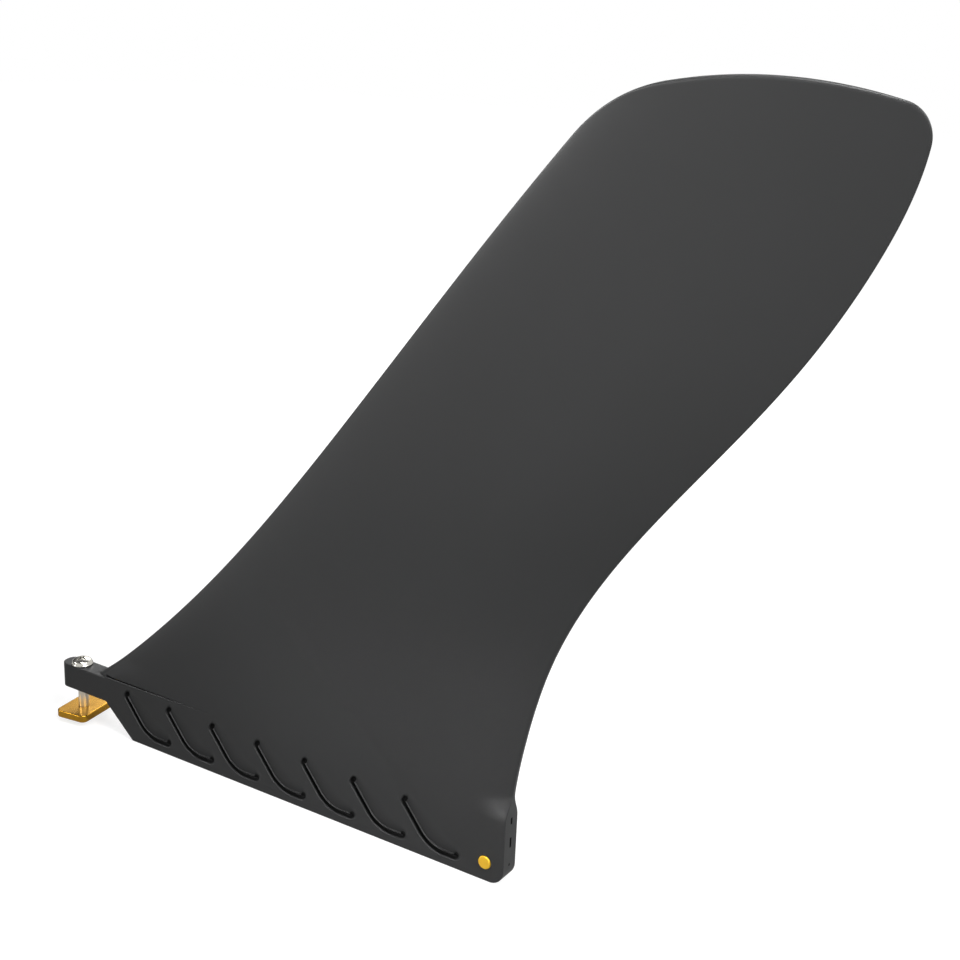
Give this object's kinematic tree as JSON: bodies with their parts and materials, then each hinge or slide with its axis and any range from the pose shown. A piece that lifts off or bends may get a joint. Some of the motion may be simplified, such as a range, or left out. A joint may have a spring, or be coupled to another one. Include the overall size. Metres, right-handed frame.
{
  "type": "paddleboard fin",
  "caption": "Raked nylon centre fin with a grooved base for a slotted fin box, a brass cross pin at its rear, and a screw with a small brass track plate at its front.",
  "frame": {"origin": "middle of the base's flat bottom face, the face that lies on the floor of the fin box", "axes": "+X from the screw's tongue at the front to the cross pin at the rear, +Y across the base, +Z from the base out along the blade"},
  "size_m": [0.3051, 0.0184, 0.2521],
  "materials": {
    "black_nylon": "satin black moulded nylon with a faint fine grain",
    "brass": "plain machined brass",
    "stainless_steel": "bright turned stainless steel"
  },
  "bodies": {
    "root": {"moulded_fin": "black_nylon", "cross_pin": "brass", "fin_screw": "stainless_steel", "track_plate": "brass"}
  },
  "joints": []
}
